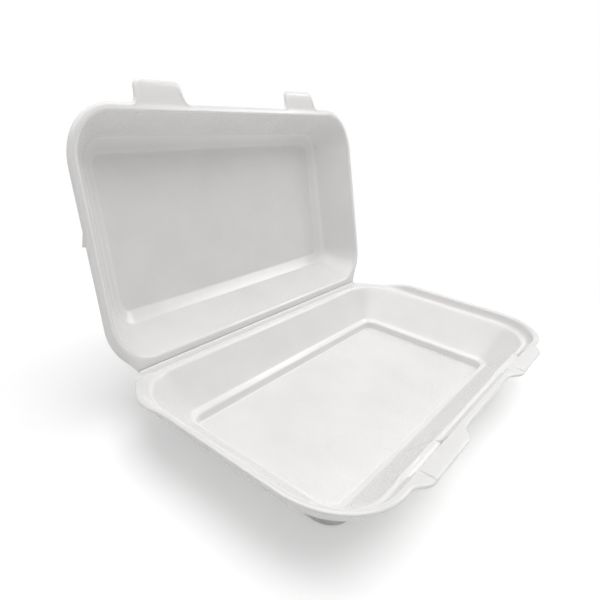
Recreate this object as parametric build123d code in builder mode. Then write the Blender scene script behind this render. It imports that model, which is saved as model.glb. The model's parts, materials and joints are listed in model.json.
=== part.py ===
from build123d import *
import os
from math import cos, radians, sin, sqrt

# Foam clamshell container: a tray and a lid pressed from one foam sheet, joined by a crease.
# Frame: +X along the crease, +Y from the front tabs to the crease, +Z up.
# The origin is the middle of the tray's flat underside. All lengths are in millimetres.
# Both halves are drawn alike, each in a plane whose origin is the middle of the crease:
# x runs along the crease, "reach" runs away from it, and "depth" runs outwards through the sheet.

# How far the box stands open, from closed
open_angle = 106.7

# Tray: sheet and rim
tray_sheet = 2.2
rim_sheet = 1.1
tray_length = 240.0
tray_reach = 128.8
rim_front_radius = 32.0
rim_back_radius = 32.0
rim_rounding = 0.4
crease_end_inset = 18.5
flange_drop = 0.4
shoulder_side = 8.2
shoulder_front = 7.9
shoulder_back = 5.8
shoulder_radius = 24.0
shoulder_share = 0.1
brow_width = 1.0

# Tray: raised lip round the front and the ends, running out beside the crease
lip_height = 5.0
lip_foot_inset = 6.7
lip_top_inset = 2.2
lip_overhang = 1.6
lip_root_inset = 4.1
lip_full_reach = 37.0
lip_end_reach = 12.5

# Inner face of the lip, from its foot to its top, as shares of its height and of its run
lip_face_shares = ((0.0, 0.0), (0.1, 0.22), (0.3, 0.42), (0.8, 0.7), (0.94, 0.84), (1.0, 1.0))

# Tray: floor, step and wall
floor_side_inset = 31.8
floor_front_inset = 25.3
floor_back_reach = 23.9
floor_radius = 5.5
floor_depth = 24.5
step_height = 4.7
step_draft = 0.5
ledge_width = 3.4
ledge_rise = 1.4
foot_draft = 1.0

# Tray: latch tabs at the front, each with a slit at its root that the lid's tab goes through
tab_corner_gap = 4.75
tray_tab_root = 51.5
tray_tab_end = 37.0
tray_tab_out = 4.5
tray_tab_rounding = 2.6
tab_panel_width = 31.5
tab_panel_rise = 0.3
tab_panel_margin = 1.0
tab_crease_width = 0.6
tab_crease_depth = 0.5
slit_slope_inset = 8.6
slit_slope_depth = 0.9

# Crease: a thin round bead that both halves meet along
bead_radius = 0.9
seat_clearance = 0.1
seat_reach = 3.0

# Lid: sheet and rim
lid_sheet = 1.6
lid_side_inset = 5.9
lid_front_inset = 6.6
lid_front_radius = 26.3
lid_back_radius = 25.0
lid_rise = 0.9
lid_flange_side = 4.2
lid_flange_front = 3.9
lid_flange_back = 5.1
lid_wall_radius = 22.0

# Lid: top panel with its bevelled border
panel_side_inset = 24.8
panel_front_inset = 18.1
panel_back_reach = 25.3
panel_radius = 6.0
lid_depth = 23.7
bevel_width = 6.6
bevel_rise = 3.4

# Lid: latch tabs, and the wedge lugs that keep stacked boxes apart
lid_tab_root = 36.0
lid_tab_end = 25.5
lid_tab_out = 10.8
lid_tab_rounding = 3.5
lug_reach = 62.4
lug_length = 8.0
lug_out = 2.4
lug_depth = 3.2
lug_height = 6.0

# How far each fold of the sheet is rounded, as a share of the face on either side
fold_share = 0.3
fold_step_shares = (0.0, 0.5, 1.0)

# One length that carries every cut clear of the solid
overrun = 6.0

# Sizes that follow from the tray's length and reach
crease_length = tray_length - 2 * crease_end_inset
tab_spacing = tray_length - 2 * (rim_front_radius + tab_corner_gap) - tray_tab_root
floor_length = tray_length - 2 * floor_side_inset
floor_width = tray_reach - floor_back_reach - floor_front_inset
lid_length = tray_length - 2 * lid_side_inset
lid_reach = tray_reach - lid_front_inset
panel_length = lid_length - 2 * panel_side_inset
panel_width = lid_reach - panel_back_reach - panel_front_inset

# The two drawing planes, and the same two seen from the side
crease_height = floor_depth + tray_sheet
crease_back = floor_back_reach + floor_width / 2
crease_middle = (0, crease_back, crease_height)
lid_outward = (0, sin(radians(open_angle)), cos(radians(open_angle)))
lid_forward = (0, -cos(radians(open_angle)), sin(radians(open_angle)))
tray_plane = Plane(origin=crease_middle, x_dir=(1, 0, 0), z_dir=(0, 0, -1))
tray_side_plane = Plane(origin=crease_middle, x_dir=(0, -1, 0), z_dir=(1, 0, 0))
lid_plane = Plane(origin=crease_middle, x_dir=(-1, 0, 0), z_dir=lid_outward)
lid_side_plane = Plane(origin=crease_middle, x_dir=lid_forward, z_dir=(-1, 0, 0))
tab_middles = (-tab_spacing / 2, tab_spacing / 2)


# A level is one depth of a half: depth, half length, nearest reach, farthest reach, corner radius
def spread(level, outwards, downwards):
    """Returns a level grown outwards on all sides and moved downwards."""
    depth, half_length, near, far, radius = level
    return (depth + downwards, half_length + outwards, near - outwards, far + outwards, radius + outwards)


def blend(first, second, share):
    """Returns the level that lies a share of the way from one level to another."""
    return tuple(a + (b - a) * share for a, b in zip(first, second))


def round_folds(levels):
    """Returns the levels with each fold between two faces opened into a short curve."""
    rounded = [levels[0]]
    for before, fold, after in zip(levels, levels[1:], levels[2:]):
        start = blend(fold, before, fold_share)
        end = blend(fold, after, fold_share)
        for share in fold_step_shares:
            rounded.append(blend(blend(start, fold, share), blend(fold, end, share), share))
    rounded.append(levels[-1])
    return rounded


def level_faces(plane, levels):
    """Returns each level as a rounded rectangle, ready to loft."""
    faces = []
    for depth, half_length, near, far, radius in levels:
        with BuildSketch(plane.offset(depth)) as section:
            with Locations((0, (near + far) / 2)):
                RectangleRounded(2 * half_length, far - near, radius)
        faces.append(section.sketch.face())
    return faces


def half_outline(length, reach, back_radius, front_radius):
    """Returns a half's outline: the crease, a slanted ear at each of its ends, the ends and the front."""
    half = length / 2
    ear_middle = (half - back_radius, back_radius)
    front_middle = (half - front_radius, reach - front_radius)
    with BuildSketch() as outline:
        with BuildLine():
            ear = CenterArc(ear_middle, back_radius, -45, 45)
            front = CenterArc(front_middle, front_radius, 0, 90)
            Polyline((0, 0), (crease_length / 2, 0), ear @ 0)
            Line(ear @ 1, front @ 0)
            Line(front @ 1, (0, reach))
            mirror(about=Plane.YZ)
        make_face()
    return outline.sketch


def tabbed_outline(outline, reach, out, root, end, rounding):
    """Returns a half's outline with its pair of round-cornered latch tabs."""
    with BuildSketch() as tabbed:
        add(outline)
        for middle in tab_middles:
            with BuildLine():
                Polyline(
                    (middle - root / 2, reach),
                    (middle + root / 2, reach),
                    (middle + end / 2, reach + out),
                    (middle - end / 2, reach + out),
                    close=True,
                )
            make_face()
        corners = tabbed.vertices().filter_by(lambda v: is_tab_corner(v, root / 2, reach))
        fillet(corners, rounding)
    return tabbed.sketch


def is_tab_corner(vertex, half_root, reach):
    """Tells whether a vertex of an outline belongs to one of its tabs."""
    from_middle = abs(abs(vertex.X) - tab_spacing / 2)
    return vertex.Y > reach - rim_rounding and from_middle < half_root + rim_rounding


def rim_face(depth, inset):
    """Returns the tray's outline at a depth, set in from the edge of the rim."""
    with BuildSketch(tray_plane.offset(depth)) as section:
        add(tray_outline)
        offset(amount=-inset, mode=Mode.REPLACE)
    return section.sketch.face()


# Tray levels, from the floor up to the shoulder inside the rim
floor_level = (floor_depth, floor_length / 2, floor_back_reach, floor_back_reach + floor_width, floor_radius)
step_level = spread(floor_level, step_draft, -step_height)
foot_level = spread(step_level, ledge_width, -ledge_rise)
shoulder_level = (flange_drop, tray_length / 2 - shoulder_side, shoulder_back, tray_reach - shoulder_front,
                  shoulder_radius)
wall_top_level = blend(shoulder_level, foot_level, shoulder_share)
brow_level = spread(shoulder_level, brow_width, 0)
brow_fold_level = blend(blend(wall_top_level, shoulder_level, 0.5), blend(shoulder_level, brow_level, 0.5), 0.5)
tray_levels = round_folds([floor_level, step_level, foot_level, wall_top_level])
tray_levels += [brow_fold_level, brow_level]
outer_foot_level = spread(foot_level, tray_sheet, tray_sheet)
outer_floor_level = spread(outer_foot_level, -foot_draft, floor_depth - foot_level[0])
outer_shoulder_level = spread(shoulder_level, tray_sheet, tray_sheet)

# Where the rim's faces lie
flange_under = flange_drop + tray_sheet
lip_under = rim_sheet - lip_height
lip_run = lip_foot_inset - lip_top_inset
tray_outline = half_outline(tray_length, tray_reach, rim_back_radius, rim_front_radius)
tab_panel_length = lip_top_inset + tray_tab_out - tab_panel_margin

# Lip with its two latch tabs
with BuildPart() as tray_lip:
    with BuildSketch(tray_plane.offset(lip_under)):
        add(tabbed_outline(tray_outline, tray_reach, tray_tab_out, tray_tab_root, tray_tab_end, tray_tab_rounding))
    extrude(amount=-rim_sheet)
    fillet(tray_lip.faces().sort_by(Axis.Z)[-1].edges(), rim_rounding)

# Ears beside the crease, and the ramps that carry the edge of the rim up to the lip
with BuildPart() as tray_ears:
    with BuildSketch(tray_side_plane):
        with BuildLine():
            Polyline(
                (0, flange_drop),
                (lip_end_reach, flange_drop),
                (lip_full_reach, -lip_height),
                (lip_full_reach, lip_under),
                (lip_end_reach, flange_drop + rim_sheet),
                (0, flange_drop + rim_sheet),
                close=True,
            )
        make_face()
    extrude(amount=tray_length / 2, both=True)
    with BuildSketch(tray_plane.offset(-lip_height)):
        add(tray_outline)
    extrude(amount=lip_height + flange_under, mode=Mode.INTERSECT)

# Tray
with BuildPart() as base_tray:
    outer_levels = round_folds([outer_floor_level, outer_foot_level, outer_shoulder_level])
    loft(level_faces(tray_plane, outer_levels), ruled=True)
    # Flange and the lip's outer face
    loft([rim_face(flange_under, lip_root_inset), rim_face(lip_under, lip_overhang)], ruled=True)
    add(tray_lip.part)
    add(tray_ears.part)
    # Inside of the tray
    loft(level_faces(tray_plane, tray_levels), ruled=True, mode=Mode.SUBTRACT)
    # Lip's inner face, and the ramps where the lip runs out towards the crease
    lip_inner_faces = [
        rim_face(flange_drop - up * (flange_drop + lip_height), lip_foot_inset - inwards * lip_run)
        for up, inwards in lip_face_shares
    ]
    loft(lip_inner_faces, ruled=True, mode=Mode.SUBTRACT)
    with BuildSketch(tray_side_plane):
        with BuildLine():
            Polyline(
                (-overrun, flange_drop),
                (lip_end_reach, flange_drop),
                (lip_full_reach, -lip_height),
                (lip_full_reach, -lip_height - overrun),
                (-overrun, -lip_height - overrun),
                close=True,
            )
        make_face()
    extrude(amount=tray_length / 2 + overrun, both=True, mode=Mode.SUBTRACT)
    # Tabs: a slit with a slope that leads the lid's tab in, a raised panel and two crease lines
    for middle in tab_middles:
        with BuildSketch(tray_side_plane.offset(middle)):
            with BuildLine():
                Polyline(
                    (tray_reach - slit_slope_inset, flange_drop),
                    (tray_reach - lip_root_inset, flange_drop + slit_slope_depth),
                    (tray_reach + overrun, flange_drop + slit_slope_depth),
                    (tray_reach + overrun, lip_under),
                    (tray_reach - slit_slope_inset, lip_under),
                    close=True,
                )
            make_face()
        extrude(amount=tab_panel_width / 2, both=True, mode=Mode.SUBTRACT)
        with BuildSketch(tray_plane.offset(-lip_height)):
            with Locations((middle, tray_reach + tray_tab_out - tab_panel_margin)):
                Rectangle(tab_panel_width, tab_panel_length, align=(Align.CENTER, Align.MAX))
        extrude(amount=-tab_panel_rise)
        with BuildSketch(tray_plane.offset(-lip_height)):
            with Locations(
                (middle - tab_panel_width / 2, tray_reach),
                (middle + tab_panel_width / 2, tray_reach),
            ):
                Rectangle(tab_crease_width, 2 * overrun)
        extrude(amount=tab_crease_depth, mode=Mode.SUBTRACT)
    # Bead along the crease
    with BuildSketch(tray_side_plane):
        Circle(bead_radius)
    extrude(amount=crease_length / 2, both=True)

# Lid levels, from the top panel to the flange
panel_level = (lid_depth, panel_length / 2, panel_back_reach, panel_back_reach + panel_width, panel_radius)
bevel_level = spread(panel_level, bevel_width, -bevel_rise)
flange_level = (lid_rise, lid_length / 2 - lid_flange_side, lid_flange_back, lid_reach - lid_flange_front,
                lid_wall_radius)
lid_levels = [panel_level, bevel_level, flange_level]
lid_outline = half_outline(lid_length, lid_reach, lid_back_radius, lid_front_radius)
lug_share = (lug_depth - lid_rise) / (bevel_level[0] - lid_rise)
lug_foot = blend(flange_level, bevel_level, lug_share)[1] + lid_sheet
lug_tip = lug_foot + lug_out

# Lid
with BuildPart() as lid:
    # Flange with its two latch tabs
    with BuildSketch(lid_plane.offset(lid_rise)):
        add(tabbed_outline(lid_outline, lid_reach, lid_tab_out, lid_tab_root, lid_tab_end, lid_tab_rounding))
    extrude(amount=rim_sheet)
    # Wall and top panel
    outer_lid_levels = round_folds([spread(level, lid_sheet, lid_sheet) for level in lid_levels])
    outer_lid_levels.append(spread(flange_level, lid_sheet, rim_sheet / 2))
    loft(level_faces(lid_plane, outer_lid_levels), ruled=True)
    # Edge that meets the crease
    with BuildSketch(lid_side_plane):
        with BuildLine():
            Polyline(
                (seat_clearance, 0),
                (seat_reach, lid_rise),
                (seat_reach, lid_rise + rim_sheet),
                (seat_clearance, lid_rise + rim_sheet),
                close=True,
            )
        make_face()
    extrude(amount=crease_length / 2, both=True)
    with BuildSketch(lid_side_plane):
        Circle(bead_radius + seat_clearance)
    extrude(amount=crease_length, both=True, mode=Mode.SUBTRACT)
    # Lugs on the two end walls
    for side in (-1, 1):
        with BuildSketch(lid_plane.offset(lug_depth)):
            with BuildLine():
                Polyline(
                    (0, lug_reach),
                    (side * lug_tip, lug_reach),
                    (side * lug_foot, lug_reach + lug_length),
                    (0, lug_reach + lug_length),
                    close=True,
                )
            make_face()
        extrude(amount=lug_height)
    # Inside of the lid
    loft(level_faces(lid_plane, round_folds(lid_levels)), ruled=True, mode=Mode.SUBTRACT)

base_tray.part.label = "base_tray"
lid.part.label = "lid"
os.makedirs("parts", exist_ok=True)
export_step(base_tray.part, "parts/base_tray.step")
export_step(lid.part, "parts/lid.step")
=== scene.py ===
"""Looks of the foam clamshell container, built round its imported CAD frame."""

import json
import logging
import math
from dataclasses import astuple, dataclass
from enum import Enum
from functools import cached_property
from typing import ClassVar

import bmesh
import bpy
from mathutils import Matrix, Vector


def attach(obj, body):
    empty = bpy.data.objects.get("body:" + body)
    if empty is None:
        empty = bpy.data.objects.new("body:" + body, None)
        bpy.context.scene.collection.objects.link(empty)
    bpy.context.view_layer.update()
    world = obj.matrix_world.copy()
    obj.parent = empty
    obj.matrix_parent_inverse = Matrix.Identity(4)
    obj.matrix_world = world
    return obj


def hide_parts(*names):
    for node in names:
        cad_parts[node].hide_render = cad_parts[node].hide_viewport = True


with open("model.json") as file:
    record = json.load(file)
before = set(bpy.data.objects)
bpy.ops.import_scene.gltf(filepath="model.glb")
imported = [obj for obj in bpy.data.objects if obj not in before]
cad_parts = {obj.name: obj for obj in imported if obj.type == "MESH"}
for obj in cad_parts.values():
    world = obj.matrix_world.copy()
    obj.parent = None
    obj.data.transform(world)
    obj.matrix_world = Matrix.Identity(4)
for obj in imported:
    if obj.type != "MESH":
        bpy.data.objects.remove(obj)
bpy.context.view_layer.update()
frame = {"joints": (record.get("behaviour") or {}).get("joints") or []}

log = logging.getLogger("foam_clamshell")

# All sizes below are in millimetres, and Blender works in metres
MM = 0.001

# The middle of the crease, where the hinge is, the lid's angle from shut, and half the crease's length
_, CREASE_BACK, CREASE_HEIGHT = (place / MM for place in frame["joints"][0]["pos_m"])
OPEN_ANGLE = math.radians(106.7)
CREASE_HALF = 101.5

# The middles of the two latch tabs along the crease's direction
TAB_MIDDLES = (-57.5, 57.5)

# Two places that lie closer than this count as one
HAIR = 0.01

# A point of a half: distance along the crease, reach away from it and, in a Point, depth outwards
Spot = tuple[float, float]
Point = tuple[float, float, float]

# Two or three numbers that are no point of a half, and that their own name explains
Pair = tuple[float, float]
Triple = tuple[float, float, float]

# The mesh attributes that say how pebbly the foam's skin is at a point, and how sharply it folds, which sets
# where the foam's material paints a highlight
PEBBLE = "pebble"
RIDGE = "ridge"


class Half(Enum):
    """The two halves of the box, each named for the body it rides on."""

    TRAY = "base"
    LID = "lid"


class Tone(Enum):
    """Colours seen on the photographed box and its studio, as sRGB hex values."""

    FOAM_LIGHT = "#F8F7F6"
    FOAM_SHADE = "#D8D6D4"
    SWEEP = "#FAFAFA"


def linear(tone: Tone) -> tuple[float, float, float, float]:
    """Turns an sRGB hex colour into the linear colour that a shader takes.

    Args:
        tone: The named colour.

    Returns:
        Linear red, green and blue, with an alpha of one.
    """
    shares = [int(tone.value[i:i + 2], 16) / 255 for i in (1, 3, 5)]
    curve = [s / 12.92 if s <= 0.04045 else ((s + 0.055) / 1.055) ** 2.4 for s in shares]
    return (curve[0], curve[1], curve[2], 1.0)


def per_mm(size: float) -> float:
    """Returns the texture scale at which one step of a pattern is a size in millimetres."""
    return 1 / (size * MM)


def ease(share: float) -> float:
    """Returns a share from zero to one with a soft start and a soft end."""
    held = min(max(share, 0.0), 1.0)
    return held * held * (3 - 2 * held)


def bent(start: Spot, bend: Spot, end: Spot, t: float) -> Spot:
    """Finds a point on a curve that bends towards one point on its way between two others.

    Args:
        start: Where the curve starts.
        bend: What it bends towards.
        end: Where it ends.
        t: The share of the way along it.

    Returns:
        The point.
    """
    weights = ((1 - t) ** 2, 2 * t * (1 - t), t * t)
    x, reach = (sum(w * p[i] for w, p in zip(weights, (start, bend, end))) for i in (0, 1))
    return (x, reach)


def nearer_tab(x: float) -> float:
    """Returns the middle of the tab that is nearer to a place along the front edge."""
    return min(TAB_MIDDLES, key=lambda middle: abs(x - middle))


def from_tab(x: float) -> float:
    """Returns how far a place along the front edge is from the middle of the nearer tab."""
    return abs(x - nearer_tab(x))


def deselect_all() -> None:
    """Leaves edit mode and selects nothing, because the loaded frame arrives selected."""
    if bpy.context.object and bpy.context.object.mode != "OBJECT":
        bpy.ops.object.mode_set(mode="OBJECT")
    bpy.ops.object.select_all(action="DESELECT")


def activate(piece: bpy.types.Object) -> None:
    """Makes one piece the only selected object and the active one.

    Args:
        piece: The object to work on next.
    """
    deselect_all()
    piece.select_set(True)
    bpy.context.view_layer.objects.active = piece


def prism(name: str, outline: list[Vector], step: Vector) -> bpy.types.Object:
    """Models a straight block, drawn out from the outline of one end.

    Args:
        name: The block's name.
        outline: The end's points in order, in metres.
        step: How far and which way the end is drawn out, in metres.

    Returns:
        The block's mesh object, at the origin.
    """
    deselect_all()
    bpy.ops.mesh.primitive_circle_add(vertices=len(outline), radius=MM, fill_type="NGON")
    block = bpy.context.object
    block.name = name
    for vertex, place in zip(block.data.vertices, outline):
        vertex.co = place
    bpy.ops.object.mode_set(mode="EDIT")
    bpy.ops.mesh.select_all(action="SELECT")
    bpy.ops.mesh.extrude_region_move(TRANSFORM_OT_translate={"value": tuple(step)})
    bpy.ops.mesh.select_all(action="SELECT")
    bpy.ops.mesh.normals_make_consistent(inside=False)
    bpy.ops.object.mode_set(mode="OBJECT")
    return block


@dataclass(frozen=True)
class Placement:
    """Where a half's reach and depth point in the shared frame."""

    forward: Vector
    outward: Vector

    @classmethod
    def of(cls, half: Half) -> "Placement":
        """Finds the placement of a half, the tray lying and the lid standing open.

        Args:
            half: Which half of the box.

        Returns:
            The half's placement.
        """
        if half is Half.TRAY:
            return cls(Vector((0, -1, 0)), Vector((0, 0, -1)))
        cosine, sine = math.cos(OPEN_ANGLE), math.sin(OPEN_ANGLE)
        return cls(Vector((0, -cosine, sine)), Vector((0, sine, cosine)))

    def place(self, point: Point) -> Vector:
        """Carries a half's own point into the shared frame.

        Args:
            point: Distance along the crease, reach away from it, and depth outwards, in millimetres.

        Returns:
            The point in metres.
        """
        x, reach, depth = point
        crease = Vector((x, CREASE_BACK, CREASE_HEIGHT))
        return (crease + self.forward * reach + self.outward * depth) * MM


@dataclass(frozen=True)
class Level:
    """One depth of a half: a rounded rectangle round the box's floor or wall."""

    depth: float
    half_length: float
    near: float
    far: float
    radius: float

    LEAST_RADIUS: ClassVar[float] = 0.4

    @property
    def hub(self) -> Spot:
        """Returns the point that the right back corner curves round."""
        return (self.half_length - self.radius, self.near + self.radius)

    def grown(self, outwards: float, deeper: float) -> "Level":
        """Returns the level spread outwards on all sides and moved deeper."""
        return Level(self.depth + deeper, self.half_length + outwards, self.near - outwards,
                     self.far + outwards, max(self.radius + outwards, self.LEAST_RADIUS))

    def mixed(self, other: "Level", share: float) -> "Level":
        """Returns the level a share of the way to another."""
        return Level(*(a + (b - a) * share for a, b in zip(astuple(self), astuple(other))))

    def curved(self, fold: "Level", end: "Level", t: float) -> "Level":
        """Returns the level a share of the way along a curve over a fold to another level."""
        return self.mixed(fold, t).mixed(fold.mixed(end, t), t)


def soft_folds(levels: list[Level], share: float, steps: int) -> list[Level]:
    """Opens each fold between two faces into a curve, as the warm sheet bends over the mould.

    Args:
        levels: The levels at which the folds lie, from first to last.
        share: How much of each face the curve takes.
        steps: How many spans each curve has.

    Returns:
        The levels with each inner one replaced by its curve.
    """
    rounded = [levels[0]]
    for before, fold, after in zip(levels, levels[1:], levels[2:]):
        start, end = fold.mixed(before, share), fold.mixed(after, share)
        rounded += [start.curved(fold, end, step / steps) for step in range(steps + 1)]
    return rounded + [levels[-1]]


@dataclass(frozen=True)
class TabShape:
    """A latch tab's outline: a straight end, rounded corners, slanted sides and soft roots."""

    root: float
    end: float
    out: float
    rounding: float
    root_rounding: float

    CURVE_SPANS: ClassVar[int] = 16
    MOST_ROUNDED_SHARE: ClassVar[float] = 0.48

    @cached_property
    def side(self) -> list[Spot]:
        """Draws one side of the tab.

        Returns:
            The side's points, from the straight end round the corner to the front edge.
        """
        corner, foot = (self.end / 2, self.out), (self.root / 2, 0.0)
        slant = math.dist(corner, foot)

        def along(share: float) -> Spot:
            """Returns a point on the slanted side."""
            return (corner[0] + (foot[0] - corner[0]) * share, corner[1] * (1 - share))

        corner_share = min(self.rounding / slant, self.MOST_ROUNDED_SHARE)
        root_share = min(self.root_rounding / slant, self.MOST_ROUNDED_SHARE)
        curves = (
            ((self.flat, self.out), corner, along(corner_share)),
            (along(1 - root_share), foot, (self.stop, 0.0)),
        )
        shares = [step / self.CURVE_SPANS for step in range(self.CURVE_SPANS + 1)]
        return [bent(*curve, share) for curve in curves for share in shares]

    @property
    def flat(self) -> float:
        """Returns half the length of the tab's straight end."""
        return self.end / 2 - self.rounding

    @property
    def stop(self) -> float:
        """Returns where the tab's soft root ends, from the tab's middle."""
        return self.root / 2 + self.root_rounding

    def at(self, from_middle: float) -> Spot:
        """Spreads the points of a straight front edge evenly round the tab.

        Args:
            from_middle: Distance of the front edge's point from the tab's middle.

        Returns:
            The moved point's distance from the tab's middle, and how far out it lies.
        """
        if from_middle <= self.flat:
            return (from_middle, self.out)
        if from_middle >= self.stop:
            return (from_middle, 0.0)
        lengths = [math.dist(a, b) for a, b in zip(self.side, self.side[1:])]
        left = sum(lengths) * (from_middle - self.flat) / (self.stop - self.flat)
        for length, start, end in zip(lengths, self.side, self.side[1:]):
            if left <= length:
                t = left / length if length else 0.0
                return (start[0] + (end[0] - start[0]) * t, start[1] + (end[1] - start[1]) * t)
            left -= length
        return self.side[-1]

    def carry(self, ring: list[Point], front: float) -> list[Point]:
        """Carries the front edge of an outline out round both tabs.

        Args:
            ring: The outline's points.
            front: The reach of its front edge.

        Returns:
            The outline with its tabs.
        """
        carried = []
        for x, reach, depth in ring:
            if reach > front - HAIR:
                middle = nearer_tab(x)
                aside, out = self.at(abs(x - middle))
                x, reach = middle + math.copysign(aside, x - middle), reach + out
            carried.append((x, reach, depth))
        return carried


@dataclass(frozen=True)
class RingPlan:
    """How every ring of a half is divided, so that the rings match point by point."""

    front_places: tuple[float, ...]
    side_spans: int = 44
    corner_spans: int = 20
    back_spans: int = 60
    ear_spans: int = 40
    ear_end_spans: int = 32

    # Steps along the front edge: over a crease line, round a tab, elsewhere, and the least last one
    LINE_STEP: ClassVar[float] = 0.14
    TAB_STEP: ClassVar[float] = 0.7
    PLAIN_STEP: ClassVar[float] = 1.9
    LEAST_STEP: ClassVar[float] = 0.3

    # How far beyond a crease line and a tab the closer steps go on
    LINE_MARGIN: ClassVar[float] = 1.1
    TAB_MARGIN: ClassVar[float] = 1.0

    # How far past its last point a span of an ear still counts as met, in radians
    TURN_SLACK: ClassVar[float] = 1e-9

    @classmethod
    def with_tabs(cls, half_front: float, tab_half: float, line: float | None = None) -> "RingPlan":
        """Divides the front edge more closely at the tabs and at the crease lines across them.

        Args:
            half_front: Half the straight part of the front edge.
            tab_half: Half the width of front edge that a tab takes.
            line: Distance of a tab's crease lines from its middle, or none.

        Returns:
            The plan for one half.
        """
        places = []
        place = -half_front
        while place < half_front - cls.LEAST_STEP:
            places.append(round(place, 3))
            aside = from_tab(place)
            if line is not None and abs(aside - line) < cls.LINE_MARGIN:
                place += cls.LINE_STEP
            elif aside < tab_half + cls.TAB_MARGIN:
                place += cls.TAB_STEP
            else:
                place += cls.PLAIN_STEP
        return cls(tuple(places + [half_front]))

    def wall_ring(self, level: Level) -> list[Point]:
        """Returns the points of a rounded rectangle, starting at the front's left end.

        Args:
            level: The rounded rectangle.

        Returns:
            Points along the front, right corner, right end, back, left end and left corner.
        """
        side, radius = level.half_length, level.radius
        straight, high = level.hub
        low = level.far - radius
        points = self._front(straight, level.far)
        points += self._arc((straight, low), radius, 90, 0)
        points += self._run((side, low), (side, high), self.side_spans)
        points += self._arc((straight, high), radius, 0, -90)
        points += self._run((straight, level.near), (-straight, level.near), self.back_spans)
        points += self._arc((-straight, high), radius, -90, -180)
        points += self._run((-side, high), (-side, low), self.side_spans)
        points += self._arc((-straight, low), radius, 180, 90)
        return [(x, reach, level.depth) for x, reach in points]

    def rim_outline(self, half_length: float, reach: float, back_radius: float, front_radius: float,
                    wall: Level, ear_turn: float, ear_bend: float) -> list[Point]:
        """Returns a half's outer outline with its slanted ears, at no depth.

        Args:
            half_length: Half the outline's length along the crease.
            reach: How far the front edge lies from the crease.
            back_radius: Radius of the ears' curves.
            front_radius: Radius of the front corners.
            wall: The wall's upper level, whose corners the ears stand round.
            ear_turn: Degrees of each ear's curve that keep its radius.
            ear_bend: How far from the crease the rest of the curve bends in to it.

        Returns:
            Points in the same order as a wall ring's.
        """
        straight, low = half_length - front_radius, reach - front_radius
        hub = wall.hub
        ear = self._ear(half_length, back_radius, hub, math.radians(ear_turn), ear_bend)
        points = self._front(straight, reach)
        points += self._arc((straight, low), front_radius, 90, 0)
        points += self._run((half_length, low), (half_length, hub[1]), self.side_spans)
        points += ear[:-1]
        points += self._run((hub[0], 0.0), (-hub[0], 0.0), self.back_spans)
        points += [(-x, y) for x, y in reversed(ear[1:])]
        points += self._run((-half_length, hub[1]), (-half_length, low), self.side_spans)
        points += self._arc((-straight, low), front_radius, 180, 90)
        return [(x, y, 0.0) for x, y in points]

    def _front(self, straight: float, reach: float) -> list[Spot]:
        """Returns the front edge's points without its last one."""
        scale = straight / self.front_places[-1]
        return [(place * scale, reach) for place in self.front_places[:-1]]

    @staticmethod
    def _run(start: Spot, end: Spot, spans: int) -> list[Spot]:
        """Returns a straight edge's points without its last one."""
        across, along = end[0] - start[0], end[1] - start[1]
        return [(start[0] + across * i / spans, start[1] + along * i / spans) for i in range(spans)]

    def _arc(self, middle: Spot, radius: float, start: float, stop: float) -> list[Spot]:
        """Draws a round corner.

        Args:
            middle: The point that the corner curves round.
            radius: The corner's radius.
            start: Where the curve starts, in degrees from the crease's direction.
            stop: Where it stops.

        Returns:
            The corner's points without its last one.
        """
        spans = self.corner_spans
        angles = [math.radians(start + (stop - start) * i / spans) for i in range(spans)]
        return [(middle[0] + radius * math.cos(a), middle[1] + radius * math.sin(a)) for a in angles]

    def _ear(self, half_length: float, radius: float, hub: Spot, turn: float, bend: float) -> list[Spot]:
        """Returns an ear's points, each straight out from the wall's corner, as its own points are.

        Args:
            half_length: Half the outline's length along the crease.
            radius: Radius of the ear's curve.
            hub: The point that the wall's corner curves round.
            turn: How much of the curve keeps its radius, in radians.
            bend: How far from the crease the rest of the curve bends in to it.

        Returns:
            The points from the end's straight edge to the crease.
        """
        line = [(half_length, hub[1])]
        for i in range(self.ear_spans + 1):
            angle = turn * i / self.ear_spans
            line.append((half_length - radius + radius * math.cos(angle), radius - radius * math.sin(angle)))
        start, tip = line[-1], (CREASE_HALF, 0.0)
        middle = (start[0] - (start[1] - bend) * math.tan(turn), bend)
        line += [bent(start, middle, tip, i / self.ear_end_spans) for i in range(1, self.ear_end_spans + 1)]
        line.append((hub[0], 0.0))
        tip_turn = math.atan2(hub[1] - tip[1], tip[0] - hub[0])
        points = []
        for i in range(self.corner_spans + 1):
            aim = math.pi / 2 * i / self.corner_spans
            # The point that comes nearest to the crease's end is moved there, to keep its notch crisp
            if abs(aim - tip_turn) <= math.pi / 4 / self.corner_spans:
                aim = tip_turn
            points.append(self._met(line, hub, aim))
        return points

    def _met(self, line: list[Spot], hub: Spot, aim: float) -> Spot:
        """Finds where a ray from the wall's corner meets an ear's outline.

        Args:
            line: The outline's points.
            hub: Where the ray starts.
            aim: The ray's turn from the crease's direction, in radians.

        Returns:
            The point on the outline.
        """
        turns = [math.atan2(hub[1] - y, x - hub[0]) for x, y in line]
        for (ax, ay), (bx, by), a, b in zip(line, line[1:], turns, turns[1:]):
            if a <= aim <= b + self.TURN_SLACK and b > a:
                normal = (-math.sin(aim), -math.cos(aim))
                first = (ax - hub[0]) * normal[0] + (ay - hub[1]) * normal[1]
                last = (bx - hub[0]) * normal[0] + (by - hub[1]) * normal[1]
                t = first / (first - last) if first != last else 0.0
                return (ax + (bx - ax) * t, ay + (by - ay) * t)
        return line[-1]


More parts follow.
